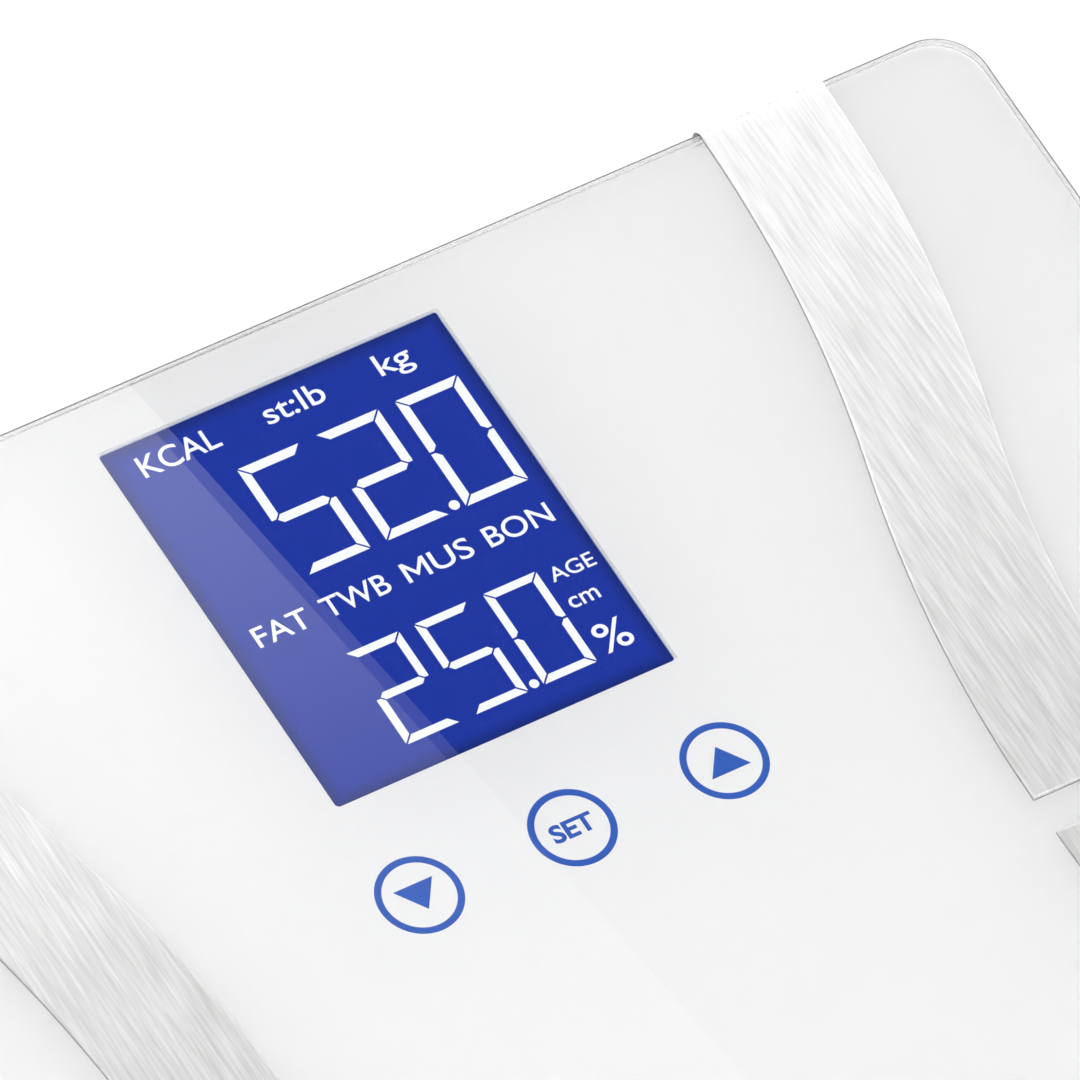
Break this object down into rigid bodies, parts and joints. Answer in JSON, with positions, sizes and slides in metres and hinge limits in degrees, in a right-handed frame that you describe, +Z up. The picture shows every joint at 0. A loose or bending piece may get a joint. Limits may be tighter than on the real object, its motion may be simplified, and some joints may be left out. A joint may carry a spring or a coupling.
{
  "type": "digital bathroom scale",
  "caption": "Square glass-topped body scale with wave-shaped steel electrode strips, a blue portrait display, touch keys and sprung load-cell feet.",
  "frame": {"origin": "on the floor, at the centre of the footprint", "axes": "+X to the user's right, +Y from the heels towards the display, +Z up"},
  "size_m": [0.3, 0.3018, 0.0243],
  "materials": {
    "clear_glass": "polished toughened glass",
    "white_print": "white back print, glossy through the glass",
    "blue_print": "mid blue printed legend",
    "brushed_steel": "fine straight brushed grain",
    "glue_film": "translucent grey film",
    "foam_tape": "white foam tape",
    "white_shell": "fine moulded texture",
    "white_frame": "smooth moulded white",
    "zinc_steel": "bright zinc plate",
    "label_film": "satin silver film",
    "blue_display": "negative display cell, lit blue",
    "polarizer_film": "dark film",
    "light_plate": "clear acrylic light guide",
    "mirror_film": "white silver reflector",
    "led_tape": "white LED strip",
    "connector_rubber": "pink layered rubber",
    "board_green": "green solder mask",
    "chip_black": "moulded epoxy",
    "socket_white": "natural nylon",
    "switch_black": "black moulded",
    "button_grey": "grey moulded",
    "battery_wrap": "plain printed wrap",
    "spring_steel": "nickel-plated spring wire",
    "cell_steel": "zinc-plated steel plate",
    "silicone": "white silicone",
    "foot_plastic": "light grey moulded",
    "pad_rubber": "dark grey rubber",
    "lead_red": "red lead sleeve",
    "lead_white": "white lead sleeve",
    "lead_black": "black lead sleeve"
  },
  "bodies": {
    "platform": {"backlight_reflector": "mirror_film", "backlight_strip": "led_tape", "battery_1": "battery_wrap", "battery_2": "battery_wrap", "battery_3": "battery_wrap", "battery_4": "battery_wrap", "battery_contacts": "spring_steel", "battery_leads": "lead_red", "battery_springs": "spring_steel", "board_chips": "chip_black", "board_screws": "zinc_steel", "bonding_tape": "foam_tape", "bottom_cover": "white_shell", "cover_screws": "zinc_steel", "display_frame": "white_frame", "electrode_adhesive": "glue_film", "electrode_contact_springs": "spring_steel", "electrode_heel_left": "brushed_steel", "electrode_heel_right": "brushed_steel", "electrode_leads": "lead_white", "electrode_toe_left": "brushed_steel", "electrode_toe_right": "brushed_steel", "front_polarizer": "polarizer_film", "gauge_coatings": "silicone", "glass_platform": "clear_glass", "key_legends": "blue_print", "lcd_panel": "blue_display", "lead_connectors": "socket_white", "light_guide": "light_plate", "load_cell_heel_left": "cell_steel", "load_cell_heel_right": "cell_steel", "load_cell_lead_heel_left": "lead_black", "load_cell_lead_heel_right": "lead_black", "load_cell_lead_toe_left": "lead_black", "load_cell_lead_toe_right": "lead_black", "load_cell_screws": "zinc_steel", "load_cell_toe_left": "cell_steel", "load_cell_toe_right": "cell_steel", "main_board": "board_green", "rating_label": "label_film", "rear_polarizer": "polarizer_film", "top_tray": "white_shell", "touch_spring_down": "spring_steel", "touch_spring_set": "spring_steel", "touch_spring_up": "spring_steel", "unit_switch": "switch_black", "white_back_print": "white_print", "zebra_connector": "connector_rubber"},
    "foot_toe_left": {"foot_cap_toe_left": "foot_plastic", "foot_pad_toe_left": "pad_rubber"},
    "foot_toe_right": {"foot_cap_toe_right": "foot_plastic", "foot_pad_toe_right": "pad_rubber"},
    "foot_heel_left": {"foot_cap_heel_left": "foot_plastic", "foot_pad_heel_left": "pad_rubber"},
    "foot_heel_right": {"foot_cap_heel_right": "foot_plastic", "foot_pad_heel_right": "pad_rubber"},
    "battery_door": {"battery_door": "white_shell"},
    "unit_button": {"unit_button": "button_grey", "unit_switch_plunger": "button_grey"}
  },
  "joints": [
    {"name": "foot_toe_left_press", "type": "slide", "parent": "platform", "child": "foot_toe_left", "axis": [0, 0, 1], "range_m": [0, 0.0005], "stiffness_N_per_m": 1000, "deforming": ["load_cell_toe_left"]},
    {"name": "foot_toe_right_press", "type": "slide", "parent": "platform", "child": "foot_toe_right", "axis": [0, 0, 1], "range_m": [0, 0.0005], "stiffness_N_per_m": 1000, "deforming": ["load_cell_toe_right"]},
    {"name": "foot_heel_left_press", "type": "slide", "parent": "platform", "child": "foot_heel_left", "axis": [0, 0, 1], "range_m": [0, 0.0005], "stiffness_N_per_m": 1000, "deforming": ["load_cell_heel_left"]},
    {"name": "foot_heel_right_press", "type": "slide", "parent": "platform", "child": "foot_heel_right", "axis": [0, 0, 1], "range_m": [0, 0.0005], "stiffness_N_per_m": 1000, "deforming": ["load_cell_heel_right"]},
    {"name": "battery_door_hinge", "type": "hinge", "parent": "platform", "child": "battery_door", "pos_m": [0, -0.0053, 0.0047], "axis": [1, 0, 0], "range_deg": [0, 80]},
    {"name": "unit_button_press", "type": "slide", "parent": "platform", "child": "unit_button", "axis": [0, 0, 1], "range_m": [0, 0.0005], "stiffness_N_per_m": 400}
  ]
}
